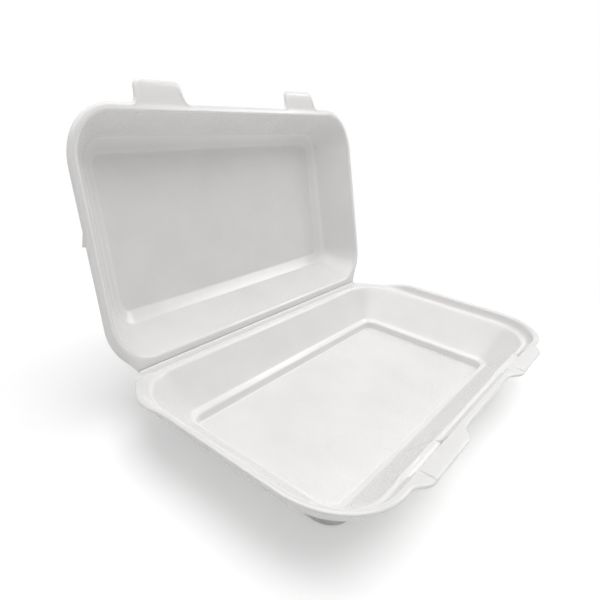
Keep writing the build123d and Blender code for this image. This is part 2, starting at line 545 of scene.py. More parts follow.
def inset_ring(ring: list[Point], insets: list[float], wall: Level) -> list[Point]:
    """Moves each point of a ring inwards, along the ring's own normal or towards the wall's corner.

    Args:
        ring: The outline's points, in order.
        insets: How far to move each of them.
        wall: The wall's upper level, to whose back corners the ears' points move.

    Returns:
        The moved points, with their depths kept.
    """
    moved = []
    hub = wall.hub
    for i, (x, reach, depth) in enumerate(ring):
        if reach < hub[1]:
            run, rise = hub[1] - reach, -math.copysign(max(abs(x) - hub[0], 0.0), x)
        else:
            before, after = ring[i - 1], ring[(i + 1) % len(ring)]
            run, rise = before[0] - after[0], after[1] - before[1]
        step = insets[i] / (math.hypot(run, rise) or 1.0)
        moved.append((x + rise * step, reach + run * step, depth))
    return moved


def mixed_rings(first: list[Point], last: list[Point], spans: int) -> list[list[Point]]:
    """Returns the rings that lie evenly between two others.

    Args:
        first: The ring before them.
        last: The ring after them.
        spans: How many steps there are from one to the other.

    Returns:
        One ring fewer than there are spans.
    """
    rings = []
    for step in range(1, spans):
        t = step / spans
        rings.append([tuple(a + (b - a) * t for a, b in zip(one, other)) for one, other in zip(first, last)])
    return rings


@dataclass
class FormedSheet:
    """A closed sheet drawn ring by ring, each ring extruded from the one before it."""

    name: str
    placement: Placement
    piece: bpy.types.Object | None = None

    def build(self, rings: list[list[Point]]) -> bpy.types.Object:
        """Starts from a circle, extrudes it through every ring and closes both ends.

        Args:
            rings: Points of each ring, all of the same count and in the same order.

        Returns:
            The finished mesh object, at the origin.
        """
        deselect_all()
        bpy.ops.mesh.primitive_circle_add(vertices=len(rings[0]), radius=MM, location=(0, 0, 0))
        self.piece = bpy.context.object
        self.piece.name = self.name
        self.piece.data.name = self.name
        bpy.ops.object.mode_set(mode="EDIT")
        bpy.ops.mesh.select_mode(type="VERT")
        mesh = bmesh.from_edit_mesh(self.piece.data)
        order = mesh.verts.layers.int.new("order")
        for index, vertex in enumerate(mesh.verts):
            vertex[order] = index
        bpy.ops.mesh.select_all(action="SELECT")
        self._settle(rings[0])
        for ring in rings[1:]:
            bpy.ops.mesh.extrude_region_move()
            self._settle(ring)
        bpy.ops.mesh.edge_face_add()
        self._select_first(len(rings[0]))
        bpy.ops.mesh.edge_face_add()
        bpy.ops.mesh.select_all(action="SELECT")
        bpy.ops.mesh.normals_make_consistent(inside=False)
        bpy.ops.object.mode_set(mode="OBJECT")
        return self.piece

    def _settle(self, ring: list[Point]) -> None:
        """Moves the selected ring's vertices to their places.

        Args:
            ring: The ring's points, in the order of the first circle's vertices.
        """
        mesh = bmesh.from_edit_mesh(self.piece.data)
        order = mesh.verts.layers.int["order"]
        for vertex in mesh.verts:
            if vertex.select:
                vertex.co = self.placement.place(ring[vertex[order]])
        bmesh.update_edit_mesh(self.piece.data)

    def _select_first(self, count: int) -> None:
        """Selects the ring that the sheet started from.

        Args:
            count: How many vertices the ring has.
        """
        bpy.ops.mesh.select_all(action="DESELECT")
        mesh = bmesh.from_edit_mesh(self.piece.data)
        mesh.verts.ensure_lookup_table()
        for index in range(count):
            mesh.verts[index].select_set(True)
        mesh.select_flush(True)
        bmesh.update_edit_mesh(self.piece.data)


@dataclass
class NodeTree:
    """The nodes of a material or of the world, added one at a time."""

    owner: bpy.types.Material | bpy.types.World

    @classmethod
    def of(cls, owner: bpy.types.Material | bpy.types.World) -> "NodeTree":
        """Empties the nodes of a new material or world.

        Args:
            owner: What the nodes belong to.

        Returns:
            The tree, ready for nodes.
        """
        owner.use_nodes = True
        owner.node_tree.nodes.clear()
        return cls(owner)

    def add(self, kind: str, settings: dict | None = None, inputs: dict | None = None) -> bpy.types.Node:
        """Adds one node with its settings, and links or sets its inputs.

        Args:
            kind: The node's type name.
            settings: Node properties by name.
            inputs: Values, or output sockets to link, by input name or index.

        Returns:
            The new node.
        """
        node = self.owner.node_tree.nodes.new(kind)
        for key, value in (settings or {}).items():
            setattr(node, key, value)
        for key, value in (inputs or {}).items():
            if isinstance(value, bpy.types.NodeSocket):
                self.owner.node_tree.links.new(value, node.inputs[key])
            else:
                node.inputs[key].default_value = value
        return node


@dataclass(frozen=True)
class FoamFinish:
    """Extruded polystyrene foam, pressed warm: satin white skin over fine closed cells.

    Its cells catch small points of light, partly from glossier cells and partly painted into its colour as
    white flecks that also stand for the foam's grain; a highlight is painted along its folds, and broad folds
    stay soft. The real cells are about a quarter of a millimetre wide, and are drawn coarser so that they
    show.
    """

    name: str = "polystyrene_foam_sheet"
    cell: float = 1.0
    cell_softness: float = 0.4
    grain: float = 0.45
    grain_roughness: float = 0.6
    cloud: float = 26.0
    relief: float = 0.005
    pebble: float = 0.22

    # Shares of the shaded tone: in the clouds, between the flecks, and what of both a fold keeps, which
    # paints a highlight along each fold
    cloud_shade: float = 0.4
    fleck_shade: float = 0.16
    painted_highlight_shade: float = 0.1

    # Roughness of the dullest and the shiniest cells, and how much a fold takes off it
    dull: float = 0.32
    shiny: float = 0.26
    fold_gloss: float = 0.12

    # The grain's values over which a fleck comes up, and over which a cell turns shiny
    fleck_range: Pair = (0.48, 0.68)
    shine_range: Pair = (0.35, 0.65)

    # Polystyrene's index of refraction, and the default strength of its reflections
    ior: float = 1.55
    specular: float = 0.5

    def make(self) -> bpy.types.Material:
        """Builds the material.

        Returns:
            The foam material.
        """
        tree = NodeTree.of(bpy.data.materials.new(self.name))
        place = tree.add("ShaderNodeTexCoord").outputs["Object"]
        pebbled = tree.add("ShaderNodeAttribute", {"attribute_name": PEBBLE}).outputs["Fac"]
        folded = tree.add("ShaderNodeAttribute", {"attribute_name": RIDGE}).outputs["Fac"]
        cloud = tree.add("ShaderNodeTexNoise", inputs={
            "Vector": place, "Scale": per_mm(self.cloud), "Detail": 3.0})
        grain = tree.add("ShaderNodeTexNoise", inputs={
            "Vector": place, "Scale": per_mm(self.grain), "Detail": 1.0, "Roughness": self.grain_roughness})
        cells = tree.add("ShaderNodeTexVoronoi", {"feature": "SMOOTH_F1"}, {
            "Vector": place, "Scale": per_mm(self.cell), "Smoothness": self.cell_softness})
        # White flecks on the cell tops, partly the foam's grain and partly painted glints, over slow clouds
        # where the sheet is denser
        fleck = tree.add("ShaderNodeMapRange", inputs={
            "Value": grain.outputs["Fac"],
            "From Min": self.fleck_range[0],
            "From Max": self.fleck_range[1],
            "To Min": self.fleck_shade,
            "To Max": 0.0,
        })
        shade = tree.add("ShaderNodeMath", {"operation": "MULTIPLY_ADD", "use_clamp": True}, {
            0: cloud.outputs["Fac"], 1: self.cloud_shade, 2: fleck.outputs["Result"]})
        # Folds are painted whiter, a painted highlight along each fold, and are made a little glossier
        painted_fold_highlight = tree.add("ShaderNodeMapRange", inputs={
            "Value": folded, "To Min": 1.0, "To Max": self.painted_highlight_shade})
        depth = tree.add("ShaderNodeMath", {"operation": "MULTIPLY"}, {
            0: shade.outputs["Value"], 1: painted_fold_highlight.outputs["Result"]})
        tint = tree.add("ShaderNodeMix", {"data_type": "RGBA"}, {
            "Factor": depth.outputs["Value"],
            "A": linear(Tone.FOAM_LIGHT),
            "B": linear(Tone.FOAM_SHADE),
        })
        # Some cells lie flatter and shine more than others
        shine = tree.add("ShaderNodeMapRange", inputs={
            "Value": grain.outputs["Fac"],
            "From Min": self.shine_range[0],
            "From Max": self.shine_range[1],
            "To Min": self.dull,
            "To Max": self.shiny,
        })
        gloss = tree.add("ShaderNodeMath", {"operation": "MULTIPLY_ADD"}, {
            0: folded, 1: -self.fold_gloss, 2: shine.outputs["Result"]})
        fine = tree.add("ShaderNodeBump", inputs={
            "Strength": 1.0, "Distance": self.relief * MM, "Height": grain.outputs["Fac"]})
        coarse = tree.add("ShaderNodeBump", {"invert": True}, {
            "Strength": pebbled,
            "Distance": self.pebble * MM,
            "Height": cells.outputs["Distance"],
            "Normal": fine.outputs["Normal"],
        })
        surface = tree.add("ShaderNodeBsdfPrincipled", inputs={
            "Base Color": tint.outputs["Result"],
            "Roughness": gloss.outputs["Value"],
            "Normal": coarse.outputs["Normal"],
            "IOR": self.ior,
            "Specular IOR Level": self.specular,
        })
        tree.add("ShaderNodeOutputMaterial", inputs={"Surface": surface.outputs["BSDF"]})
        return tree.owner


@dataclass(frozen=True)
class FoamSkin:
    """What the mould leaves in the foam's skin: pebbles in some places, and tight glossy folds, along which
    the material paints a highlight.
    """

    # How pebbly each region is, from zero to one
    plain: float = 0.03
    lid_tab: float = 0.2
    tray_tab: float = 0.6
    floor_back: float = 0.25

    # Where the regions lie: heights over the crease, reaches from it, and the floor's height
    lid_tab_height: float = 118.5
    tray_tab_heights: Pair = (3.5, 7.0)
    tray_tab_reach: float = 124.5
    tray_tab_half: float = 24.0
    floor_height: float = 4.0
    floor_start: float = 45.0
    floor_run: float = 50.0

    # The shortest edge that tells a fold, and the curvature of a full fold, per millimetre
    shortest_edge: float = 0.02
    full_fold: float = 0.45

    # Folds sharper than this many degrees stay crisp
    smooth_angle: float = 40.0

    def pebbling(self, place: Vector) -> float:
        """Returns how pebbly the skin is at a place: most on the floor's front and the tray's tabs.

        Args:
            place: The place in millimetres.

        Returns:
            A share from zero to one.
        """
        reach = CREASE_BACK - place.y
        low, high = (CREASE_HEIGHT + height for height in self.tray_tab_heights)
        if place.z > CREASE_HEIGHT + self.lid_tab_height:
            return self.lid_tab
        if low < place.z < high and reach > self.tray_tab_reach and from_tab(place.x) < self.tray_tab_half:
            return self.tray_tab
        if place.z < self.floor_height:
            return self.floor_back + (1 - self.floor_back) * ease((reach - self.floor_start) / self.floor_run)
        return self.plain

    def folding(self, vertex: bmesh.types.BMVert) -> float:
        """Returns how sharply the sheet folds at a vertex.

        Args:
            vertex: A vertex of the finished mesh.

        Returns:
            A share from zero, flat, to one, a fold of about two millimetres' radius.
        """
        sharpest = 0.0
        for edge in vertex.link_edges:
            away = edge.other_vert(vertex).co - vertex.co
            if away.length > self.shortest_edge * MM:
                sharpest = max(sharpest, 2 * MM * abs(away.dot(vertex.normal)) / away.length_squared)
        return ease(sharpest / self.full_fold)

    def dress(self, piece: bpy.types.Object, material: bpy.types.Material) -> None:
        """Gives a piece its material, its skin's attributes and soft shading.

        Args:
            piece: The finished mesh object.
            material: What it is made of.
        """
        pebbles = [self.pebbling(vertex.co / MM) for vertex in piece.data.vertices]
        mesh = bmesh.new()
        mesh.from_mesh(piece.data)
        folds = [self.folding(vertex) for vertex in mesh.verts]
        mesh.free()
        for name, values in ((PEBBLE, pebbles), (RIDGE, folds)):
            piece.data.attributes.new(name, "FLOAT", "POINT").data.foreach_set("value", values)
        activate(piece)
        piece.data.materials.clear()
        piece.data.materials.append(material)
        bpy.ops.object.shade_smooth_by_angle(angle=math.radians(self.smooth_angle))


@dataclass(frozen=True)
class SweepFinish:
    """White studio sweep: matt, with a faint polish that mirrors the box a little.

    Away from the box it runs out into an even white, as a lit sweep does.
    """

    name: str = "white_studio_sweep"
    fade_start: float = 0.17
    fade_end: float = 0.34
    lift: float = 0.28
    roughness: float = 0.22
    ior: float = 1.25

    def make(self) -> bpy.types.Material:
        """Builds the material.

        Returns:
            The floor's material.
        """
        tree = NodeTree.of(bpy.data.materials.new(self.name))
        place = tree.add("ShaderNodeTexCoord").outputs["Object"]
        distance = tree.add("ShaderNodeVectorMath", {"operation": "LENGTH"}, {0: place})
        far = tree.add("ShaderNodeMapRange", {"interpolation_type": "SMOOTHSTEP"}, {
            "Value": distance.outputs["Value"], "From Min": self.fade_start, "From Max": self.fade_end})
        path = tree.add("ShaderNodeLightPath")
        seen = tree.add("ShaderNodeMath", {"operation": "MAXIMUM"}, {
            0: path.outputs["Is Camera Ray"], 1: path.outputs["Is Glossy Ray"]})
        white = tree.add("ShaderNodeMath", {"operation": "MULTIPLY"}, {
            0: far.outputs["Result"], 1: seen.outputs["Value"]})
        lift = tree.add("ShaderNodeMath", {"operation": "MULTIPLY"}, {0: seen.outputs["Value"], 1: self.lift})
        surface = tree.add("ShaderNodeBsdfPrincipled", inputs={
            "Base Color": linear(Tone.SWEEP),
            "Roughness": self.roughness,
            "IOR": self.ior,
            "Emission Color": (1, 1, 1, 1),
            "Emission Strength": lift.outputs["Value"],
        })
        glow = tree.add("ShaderNodeEmission", inputs={"Color": (1, 1, 1, 1), "Strength": 1.0})
        both = tree.add("ShaderNodeMixShader", inputs={
            "Fac": white.outputs["Value"], 1: surface.outputs["BSDF"], 2: glow.outputs["Emission"]})
        tree.add("ShaderNodeOutputMaterial", inputs={"Surface": both.outputs["Shader"]})
        return tree.owner


@dataclass
class TrayLooks:
    """The tray: sunk floor, sloped walls, and a rim with a raised lip, ears and latch tabs."""

    # Sheet and rim
    sheet: float = 2.2
    rim_sheet: float = 1.7
    half_length: float = 120.0
    reach: float = 128.8
    rim_radius: float = 32.0
    ear_turn: float = 28.0
    ear_bend: float = 1.2
    flange_drop: float = 0.4

    # The rim thins to this share of its width at the crease
    narrow_share: float = 0.62
    narrow_run: float = 30.0

    # Between the ears the back flange dips towards the crease
    sink_depth: float = 0.9
    sink_run: float = 4.8
    sink_half: float = 93.0
    sink_fade: float = 8.0

    # Raised lip, which runs out beside the crease over the middle part of a soft ramp
    lip_height: float = 5.0
    lip_foot_inset: float = 6.7
    lip_top_inset: float = 2.2
    lip_root_inset: float = 4.1
    lip_full_reach: float = 37.0
    lip_end_reach: float = 12.5
    ramp_start_share: float = 0.1
    ramp_share: float = 0.8

    # Inner face of the lip from its foot to its top: shares of its height and of its run
    lip_face: tuple[Pair, ...] = (
        (0.0, 0.0), (0.02, 0.08), (0.06, 0.16), (0.13, 0.25), (0.22, 0.34), (0.34, 0.43),
        (0.55, 0.555), (0.74, 0.66), (0.86, 0.74), (0.94, 0.83), (0.985, 0.92), (1.0, 1.0))

    # Inset and depth of each of those rings where a slit is
    slit_face: tuple[Pair, ...] = (
        (7.5, 0.86), (7.2, 0.88), (6.8, 0.91), (6.4, 0.95), (6.0, 1.0), (5.7, 1.08),
        (5.4, 1.22), (5.0, 1.5), (3.6, -2.0), (3.0, -3.9), (2.95, -4.7), (2.7, -5.12))

    # Top and rounded edge of the lip: inset and depth under its top, the edge drawn for a thinner sheet
    lip_brow: Pair = (1.75, -0.05)
    lip_edge_sheet: float = 1.1
    lip_edge: tuple[Pair, ...] = (
        (1.3, -0.06), (0.8, -0.02), (0.45, 0.05), (0.2, 0.16),
        (0.05, 0.32), (0.0, 0.5), (0.06, 0.8), (0.3, 1.04))

    # Outer face of the lip: inset, share of its height, and depth under the sheet
    lip_outside: tuple[Triple, ...] = ((1.6, 1.0, 0.0), (2.3, 0.85, 0.0), (3.8, 0.15, 0.2), (4.5, 0.0, 0.4))

    # Floor with its crown and the low bead round its edge
    floor: Level = Level(depth=24.5, half_length=88.2, near=23.9, far=103.5, radius=5.5)
    floor_insets: tuple[float, ...] = (34.0, 26.0, 18.0, 11.0, 7.0, 4.0, 3.0, 2.5, 2.15, 1.8, 1.5, 1.3)
    floor_margin: float = 1.1
    floor_crown: float = 0.5
    crown_run: float = 14.0
    floor_bead: float = 0.06
    bead_start: float = 1.2
    bead_rise_run: float = 0.5
    bead_crest: float = 2.0
    bead_fall_run: float = 1.8

    # Step, wall and shoulder
    step_height: float = 4.7
    step_draft: float = 0.5
    ledge_width: float = 3.4
    ledge_rise: float = 1.4
    foot_draft: float = 1.0
    wall_end_share: float = 0.16
    fold_share: float = 0.22
    fold_steps: int = 6
    shoulder: Level = Level(depth=0.4, half_length=111.8, near=5.8, far=120.9, radius=24.0)
    shoulder_start_share: float = 0.08
    shoulder_steps: int = 7
    brow_width: float = 1.0

    # Outside and underside
    outer_fold_share: float = 0.3
    outer_fold_steps: int = 7
    underside_insets: Pair = (4.0, 20.0)

    # Latch tabs, each with a raised panel between two crease lines
    tab: TabShape = TabShape(root=51.5, end=37.0, out=4.5, rounding=2.4, root_rounding=2.4)
    panel_half: float = 15.75
    panel_rise: float = 0.3
    panel_margin: float = 1.0
    crease_depth: float = 0.17
    crease_half_width: float = 0.42

    # Slit under each panel, and the lead-in pressed into the shoulder before it
    slit_soft: float = 0.3
    slit_floor: float = 1.35
    slit_roof: float = 0.1
    slit_back: float = 1.15
    slit_out: float = 6.0
    slit_margin: float = 0.4
    lead_run: float = 7.0
    lead_least: float = 0.5
    lead_more: float = 0.4
    lead_start_share: float = 0.3
    lead_drop_share: float = 0.5

    def build(self) -> bpy.types.Object:
        """Draws the tray's rings from the middle of its floor, over the rim, to its underside.

        Returns:
            The tray's mesh object.
        """
        plan = RingPlan.with_tabs(self.half_length - self.rim_radius, self.tab.stop, self.panel_half)
        rings = [plan.wall_ring(level) for level in self._inner_levels()]
        rings += [self._scooped(plan.wall_ring(level), share) for level, share in self._shoulder_levels()]
        rings += self._rim_rings(plan)
        rings += [plan.wall_ring(level) for level in self._outer_levels()]
        return FormedSheet("tray_sheet", Placement.of(Half.TRAY)).build(rings)

    def _foot(self) -> Level:
        """Returns the level where the ledge round the floor meets the wall."""
        step = self.floor.grown(self.step_draft, -self.step_height)
        return step.grown(self.ledge_width, -self.ledge_rise)

    def _inner_levels(self) -> list[Level]:
        """Sets out the floor, the step and the wall.

        Returns:
            The levels from the floor's middle to the wall's upper end.
        """
        floor_rings = []
        for inset in self.floor_insets:
            crown = self.floor_crown * ease(inset / self.crown_run)
            rise = ease((inset - self.bead_start) / self.bead_rise_run)
            fall = ease((inset - self.bead_crest) / self.bead_fall_run)
            floor_rings.append(self.floor.grown(-inset, -crown - self.floor_bead * (rise - fall)))
        step = self.floor.grown(self.step_draft, -self.step_height)
        foot = self._foot()
        wall_end = self.shoulder.mixed(foot, self.wall_end_share)
        faces = [self.floor.grown(-self.floor_margin, 0.0), self.floor, step, foot, wall_end]
        return floor_rings + soft_folds(faces, self.fold_share, self.fold_steps)

    def _shoulder_levels(self) -> list[tuple[Level, float]]:
        """Sets out the rounded shoulder.

        Returns:
            The shoulder's levels, each with its share of the slits' lead-in.
        """
        start = self.shoulder.mixed(self._foot(), self.shoulder_start_share)
        brow = self.shoulder.grown(self.brow_width, 0.0)
        levels = []
        for step in range(self.shoulder_steps + 1):
            t = step / self.shoulder_steps
            lead_share = self.lead_start_share + (1 - self.lead_start_share) * t
            levels.append((start.curved(self.shoulder, brow, t), lead_share))
        return levels

    def _lead_in(self, x: float) -> float:
        """Finds how far the shoulder is pressed in before a slit, ending short on its right side.

        Args:
            x: The place along the front edge.

        Returns:
            The lead-in there, in millimetres.
        """
        aside = x - nearer_tab(x)
        full = self.lead_least + self.lead_more * (self.panel_half - aside) / (2 * self.panel_half)
        if aside > 0:
            return full * (1 - ease((aside - self.panel_half + self.slit_soft) / (2 * self.slit_soft)))
        return full * (1 - ease((-aside - self.panel_half) / self.lead_run))

    def _scooped(self, ring: list[Point], share: float) -> list[Point]:
        """Presses a ring of the shoulder inwards and down before the slits.

        Args:
            ring: The ring's points.
            share: How much of the lead-in the ring takes.

        Returns:
            The pressed ring.
        """
        front = max(reach for _, reach, _ in ring) - HAIR
        pressed = []
        for x, reach, depth in ring:
            lead = self._lead_in(x) * share if reach > front else 0.0
            pressed.append((x, reach - lead, depth + self.lead_drop_share * lead))
        return pressed

    def _outer_levels(self) -> list[Level]:
        """Sets out the outer wall, the foot and the underside.

        Returns:
            The levels from the shoulder's back to the middle of the underside.
        """
        inside = self._foot()
        foot = inside.grown(self.sheet, self.sheet)
        bottom = foot.grown(-self.foot_draft, self.floor.depth - inside.depth)
        top = self.shoulder.grown(self.sheet, self.sheet)
        flat, middle = (bottom.grown(-inset, 0.0) for inset in self.underside_insets)
        return soft_folds([top, foot, bottom, flat], self.outer_fold_share, self.outer_fold_steps) + [middle]

    def _ramp(self, reach: float) -> float:
        """Returns the share of the lip's full height at a reach."""
        along = (reach - self.lip_end_reach) / (self.lip_full_reach - self.lip_end_reach)
        return ease(along * self.ramp_share + self.ramp_start_share)

    def _sink(self, x: float, reach: float) -> float:
        """Returns how far the back flange dips towards the crease, between the ears."""
        near = 1 - ease(reach / self.sink_run)
        return self.sink_depth * near * (1 - ease((abs(x) - self.sink_half) / self.sink_fade))

    def _narrowing(self, reach: float) -> float:
        """Returns how much narrower the rim is at a reach, because it thins towards the crease."""
        return self.narrow_share + (1 - self.narrow_share) * ease(reach / self.narrow_run)

    def _panel_height(self, x: float, reach: float) -> float:
        """Finds how much a tab's panel stands up, or its crease lines sink, at a place on the lip.

        Args:
            x: The place along the front edge.
            reach: Its distance from the crease.

        Returns:
            The height over the lip's top.
        """
        if reach < self.reach - self.lip_top_inset - self.panel_margin:
            return 0.0
        from_line = from_tab(x) - self.panel_half
        if abs(from_line) < self.crease_half_width:
            return -self.crease_depth * (1 - abs(from_line) / self.crease_half_width)
        return self.panel_rise if from_line < 0 else 0.0

    def _rim_ring(self, outline: list[Point], inset: float, height: float, below: float,
                  slit: Pair | None = None) -> list[Point]:
        """Returns one ring of the rim.

        Args:
            outline: The rim's outer outline, with or without its tabs.
            inset: How far the ring lies inside it.
            height: Share of the lip's height that the ring has where the lip is full.
            below: How far the ring lies under that height.
            slit: Inset and depth of the ring at a slit, where it has one.

        Returns:
            The ring's points.
        """
        points = []
        rise = self.lip_height + self.flange_drop
        insets = [inset * self._narrowing(reach) for _, reach, _ in outline]
        for (x, reach, _), (_, edge, _) in zip(inset_ring(outline, insets, self.shoulder), outline):
            depth = self.flange_drop - rise * height * self._ramp(reach) + below + self._sink(x, reach)
            if edge > self.reach - HAIR:
                if slit:
                    aside = from_tab(x) - self.panel_half
                    share = 1 - ease((aside + self.slit_soft) / (2 * self.slit_soft))
                    reach += (self.reach - slit[0] - reach) * share
                    depth += (slit[1] - depth) * share
                elif height == 1.0:
                    depth -= self._panel_height(x, reach)
            points.append((x, reach, depth))
        return points

    def _rim_rings(self, plan: RingPlan) -> list[list[Point]]:
        """Draws the raised lip all round, with its tabs.

        Args:
            plan: How the rings are divided.

        Returns:
            The rings of the lip's inner face, its top, its edge and its outer face.
        """
        outline = plan.rim_outline(self.half_length, self.reach, self.rim_radius, self.rim_radius,
                                   self.shoulder, self.ear_turn, self.ear_bend)
        tabbed = self.tab.carry(outline, self.reach)
        run = self.lip_foot_inset - self.lip_top_inset
        rings = []
        for (height, inwards), slit in zip(self.lip_face, self.slit_face):
            rings.append(self._rim_ring(outline, self.lip_foot_inset - inwards * run, height, 0.0, slit))
        rings.append(self._rim_ring(outline, self.lip_brow[0], 1.0, self.lip_brow[1]))
        for inset, below in self.lip_edge:
            rings.append(self._rim_ring(tabbed, inset, 1.0, below * self.rim_sheet / self.lip_edge_sheet))
        for inset, height, below in self.lip_outside:
            rings.append(self._rim_ring(outline, inset, height, self.rim_sheet + below))
        return rings

    def cut_slits(self, tray: bpy.types.Object) -> None:
        """Cuts the slit under each tab's panel that the lid's tab goes through.

        Args:
            tray: The tray's mesh object.
        """
        back, front = self.reach - self.lip_root_inset - self.slit_back, self.reach + self.slit_out
        floor, roof = self.slit_floor, self.rim_sheet - self.lip_height + self.slit_roof
        profile = [(back, floor), (front, floor), (front, roof), (back, roof)]
        half_width = self.panel_half - self.slit_margin
        placement = Placement.of(Half.TRAY)
        for middle in TAB_MIDDLES:
            outline = [placement.place((middle - half_width, reach, depth)) for reach, depth in profile]
            cutter = prism("slit_cutter", outline, Vector((2 * half_width * MM, 0, 0)))
            activate(tray)
            cut = tray.modifiers.new("slit", "BOOLEAN")
            cut.operation = "DIFFERENCE"
            cut.solver = "EXACT"
            cut.object = cutter
            bpy.ops.object.modifier_apply(modifier=cut.name)
            bpy.data.objects.remove(cutter)


@dataclass
class LidLooks:
    """The lid: bevelled top panel, sloped walls, a narrow flange, latch tabs and side lugs."""

    # Sheet and outline
    sheet: float = 1.6
    half_length: float = 114.1
    reach: float = 122.2
    front_radius: float = 26.3
    back_radius: float = 25.0
    ear_turn: float = 42.0
    ear_bend: float = 3.6
    rise: float = 0.9

    # Panel, which sags a little, with its bevelled border
    panel: Level = Level(depth=23.7, half_length=89.3, near=25.3, far=104.1, radius=6.0)
    panel_insets: tuple[float, ...] = (34.0, 24.0, 15.0, 8.0, 4.0)
    panel_margin: float = 2.0
    panel_sag: float = 0.4
    sag_run: float = 30.0
    bevel_width: float = 6.6
    bevel_rise: float = 3.4
    fold_share: float = 0.09
    fold_steps: int = 6

    # Wall, and the rounded brow where it turns into the flange
    wall_top: Level = Level(depth=0.9, half_length=109.9, near=5.1, far=118.3, radius=22.0)
    wall_end_share: float = 0.08
    brow_width: float = 0.8
    brow_steps: int = 6

    # Outside: depth of the flange's back, and insets and sags of the panel's outer rings
    flange_back_depth: float = 1.5
    outer_fold_share: float = 0.3
    outer_fold_steps: int = 7
    outer_margin: float = 4.0
    outer_rings: tuple[Pair, ...] = ((20.0, 0.24), (34.0, 0.4))

    # Rolled flange: inset of each ring, and how far the sheet has rolled back there
    flange_face: tuple[Pair, ...] = ((3.3, 0.0), (2.7, 0.08), (2.1, 0.24), (1.6, 0.42))
    flange_edge: tuple[Pair, ...] = (
        (3.2, 0.44), (1.9, 0.46), (1.2, 0.6), (0.75, 0.78), (0.4, 1.0),
        (0.14, 1.26), (0.0, 1.5), (0.1, 1.74), (0.45, 1.92), (2.4, 1.9))
    flange_back: Pair = (2.0, 1.8)
    face_spans: int = 4
    back_spans: int = 3
    roll_least_share: float = 0.2
    roll_run: float = 9.0

    # Beside the crease the flange dips into a valley and comes back up to the bead
    valley_depth: float = 0.5
    valley_reach: float = 0.6
    valley_run: float = 0.9
    valley_lip: float = 0.1

    # Latch tabs, bent back where the box was latched, and the width of the roll round them
    tab: TabShape = TabShape(root=32.5, end=28.6, out=10.8, rounding=3.6, root_rounding=3.2)
    tab_bend: float = 1.4
    tab_bend_lead: float = 0.5
    tab_bend_power: float = 1.5
    tab_roll: float = 1.4
    tab_roll_share: float = 0.17

    # Wedge lugs on the end walls, sunk into the sheet by a share of it
    lug_reach: float = 62.4
    lug_length: float = 8.0
    lug_out: float = 2.4
    lug_depth: float = 3.2
    lug_height: float = 6.0
    lug_sunk_share: float = 0.6
    lug_rounding: float = 0.5
    lug_rounding_spans: int = 3

    def build(self) -> bpy.types.Object:
        """Draws the lid's rings from the middle of its panel, over the flange, to its outside.

        Returns:
            The lid's mesh object.
        """
        plan = RingPlan.with_tabs(self.half_length - self.front_radius, self.tab.stop)
        rings = [plan.wall_ring(level) for level in self._inner_levels()]
        rings += self._rim_rings(plan)
        rings += [plan.wall_ring(level) for level in self._outer_levels()]
        return FormedSheet("lid_sheet", Placement.of(Half.LID)).build(rings)

    def _bevel(self) -> Level:
        """Returns the level where the panel's bevelled border meets the wall."""
        return self.panel.grown(self.bevel_width, -self.bevel_rise)

    def _inner_levels(self) -> list[Level]:
        """Sets out the panel, its bevelled border, the wall and its brow.

        Returns:
            The levels from the panel's middle to the flange.
        """
        panel_rings = []
        for inset in self.panel_insets:
            panel_rings.append(self.panel.grown(-inset, self.panel_sag * ease(inset / self.sag_run)))
        wall_end = self.wall_top.mixed(self._bevel(), self.wall_end_share)
        faces = [self.panel.grown(-self.panel_margin, 0.0), self.panel, self._bevel(), wall_end]
        brow = self.wall_top.grown(self.brow_width, 0.0)
        shares = [step / self.brow_steps for step in range(1, self.brow_steps + 1)]
        brow_rings = [wall_end.curved(self.wall_top, brow, share) for share in shares]
        return panel_rings + soft_folds(faces, self.fold_share, self.fold_steps) + brow_rings

    def _outer_levels(self) -> list[Level]:
        """Sets out the outside.

        Returns:
            The levels from the flange's back to the middle of the panel's.
        """
        top = self.wall_top.grown(self.sheet, self.flange_back_depth)
        bevel, panel = (level.grown(self.sheet, self.sheet) for level in (self._bevel(), self.panel))
        faces = [top, bevel, panel, panel.grown(-self.outer_margin, 0.0)]
        rings = soft_folds(faces, self.outer_fold_share, self.outer_fold_steps)
        return rings + [panel.grown(-inset, sag) for inset, sag in self.outer_rings]

    def _rim_rings(self, plan: RingPlan) -> list[list[Point]]:
        """Draws the rolled flange all round, with its tabs.

        Args:
            plan: How the rings are divided.

        Returns:
            The rings of the flange's face, its edge and its back.
        """
        outline = plan.rim_outline(self.half_length, self.reach, self.back_radius, self.front_radius,
                                   self.wall_top, self.ear_turn, self.ear_bend)
        tabbed = self.tab.carry(outline, self.reach)
        face = [self._flange_ring(outline, *ring) for ring in self.flange_face]
        edge = [self._flange_ring(tabbed, *ring, outline) for ring in self.flange_edge]
        back = self._flange_ring(outline, *self.flange_back)
        rings = face + mixed_rings(face[-1], edge[0], self.face_spans) + edge
        return rings + mixed_rings(edge[-1], back, self.back_spans) + [back]

    def _flange_ring(self, source: list[Point], inset: float, below: float,
                     outline: list[Point] | None = None) -> list[Point]:
        """Returns one ring of the rolled flange.

        Args:
            source: The outline to follow, with or without its tabs.
            inset: How far inside it the ring lies.
            below: How far the sheet has rolled back at the ring.
            outline: The outline without tabs, where the source has them.

        Returns:
            The ring's points.
        """
        outs = [edge[1] - start[1] for edge, start in zip(source, outline or source)]
        insets = [min(inset, self.tab_roll + self.tab_roll_share * out) if outline else inset for out in outs]
        ring = []
        for (x, reach, _), (_, edge, _) in zip(inset_ring(source, insets, self.wall_top), source):
            roll_share = self.roll_least_share + (1 - self.roll_least_share) * ease(edge / self.roll_run)
            depth = self.rise + below * roll_share + self._valley(reach) + self._bend(reach)
            ring.append((x, reach, depth))
        return ring

